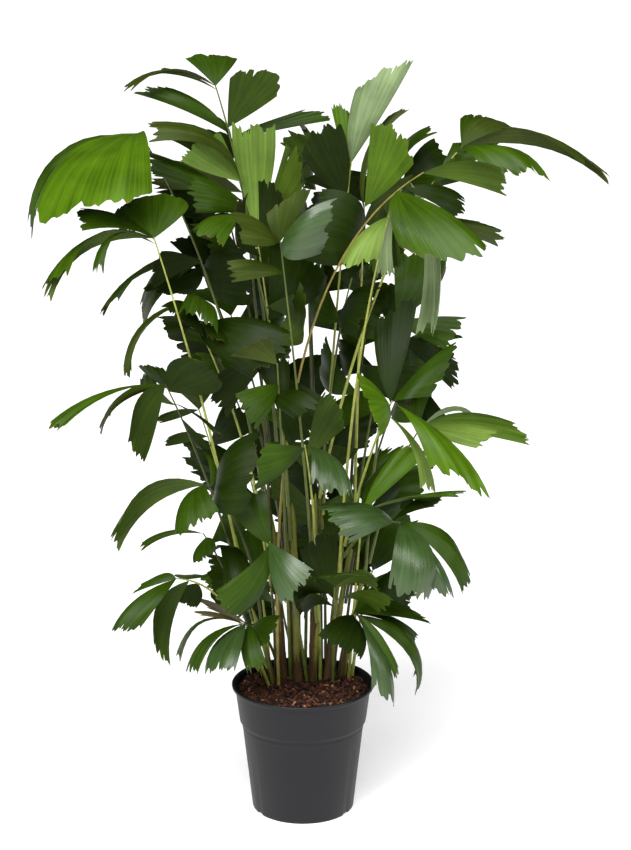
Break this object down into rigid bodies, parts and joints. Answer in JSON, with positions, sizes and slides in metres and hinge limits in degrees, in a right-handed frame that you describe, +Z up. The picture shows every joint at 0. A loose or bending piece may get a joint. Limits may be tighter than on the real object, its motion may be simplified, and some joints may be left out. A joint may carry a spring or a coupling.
{
  "type": "potted clustering fishtail palm",
  "caption": "Clump of slender canes and arching fronds with fishtail leaflets, standing in a round nursery pot filled with bark soil.",
  "frame": {"origin": "middle of the pot's flat underside, on the floor", "axes": "+Z up through the pot and the clump, -Y towards the side that the picture shows, +X to its right"},
  "size_m": [1.0403, 0.7373, 1.4254],
  "materials": {
    "pot": "satin moulded plastic",
    "soil": "loose bark chips, matt",
    "cane": "fibrous brown sheath over yellow-green",
    "frond": "glossy pleated leaf"
  },
  "bodies": {
    "root": {"pot": "pot", "soil": "soil", "cane_01": "cane", "cane_02": "cane", "cane_03": "cane", "cane_04": "cane", "cane_05": "cane", "cane_06": "cane", "cane_07": "cane", "cane_08": "cane", "cane_09": "cane", "cane_10": "cane", "frond_top_left": "frond", "frond_left_fan": "frond", "frond_upper_left": "frond", "frond_left_drooping": "frond", "frond_left_shaded": "frond", "frond_left_arched": "frond", "frond_left_hanging": "frond", "frond_left_slender": "frond", "frond_low_left_arched": "frond", "frond_low_left_thin": "frond", "frond_low_left": "frond", "frond_foot_left": "frond", "frond_foot_right": "frond", "frond_low_right": "frond", "frond_right_bright": "frond", "frond_right_glossy": "frond", "frond_right_level": "frond", "frond_right_back": "frond", "frond_right_arching": "frond", "frond_right_pale": "frond", "frond_top_spear": "frond", "frond_top_bright": "frond", "frond_top_pleated": "frond", "frond_front_pair": "frond", "frond_front_high": "frond", "frond_front_middle": "frond", "frond_front_low": "frond", "frond_back_01": "frond", "frond_back_02": "frond", "frond_back_03": "frond", "frond_back_04": "frond", "frond_back_05": "frond", "frond_back_06": "frond", "frond_back_07": "frond", "frond_back_08": "frond", "frond_back_09": "frond", "frond_back_10": "frond", "frond_back_11": "frond", "frond_back_12": "frond", "frond_back_13": "frond", "frond_right_front": "frond", "frond_front_02": "frond", "frond_side_01": "frond", "frond_side_02": "frond", "frond_side_03": "frond", "frond_side_04": "frond", "frond_side_05": "frond", "frond_side_06": "frond"}
  },
  "joints": []
}
